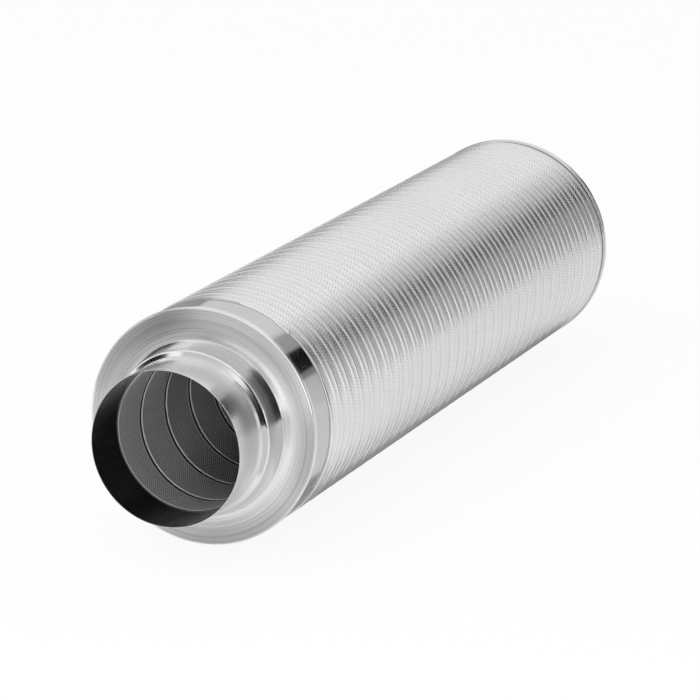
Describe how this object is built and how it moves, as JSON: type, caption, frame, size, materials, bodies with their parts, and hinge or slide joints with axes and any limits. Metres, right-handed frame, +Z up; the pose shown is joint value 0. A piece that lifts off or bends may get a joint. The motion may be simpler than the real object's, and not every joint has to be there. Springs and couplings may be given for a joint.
{
  "type": "duct sound attenuator",
  "caption": "Round in-line duct silencer: a perforated inner duct in a helically seamed aluminium casing filled with mineral wool, with a spun cap and male spigot at each end.",
  "frame": {"origin": "centre of the inlet spigot's mouth", "axes": "+X along the air path from the inlet to the outlet, +Z up"},
  "size_m": [1.0772, 0.243, 0.243],
  "materials": {
    "wound_aluminium": "bright rolled strip with a fine cross crimp",
    "spun_aluminium": "polished, with fine rings left by spinning",
    "perforated_aluminium": "satin strip, finely perforated",
    "mineral_wool": "matted fibres",
    "fleece": "thin dark felted fleece"
  },
  "bodies": {
    "root": {"outer_duct": "wound_aluminium", "inlet_end_cap": "spun_aluminium", "outlet_end_cap": "spun_aluminium", "inner_duct": "perforated_aluminium", "absorber": "mineral_wool", "facing_fleece": "fleece"}
  },
  "joints": []
}
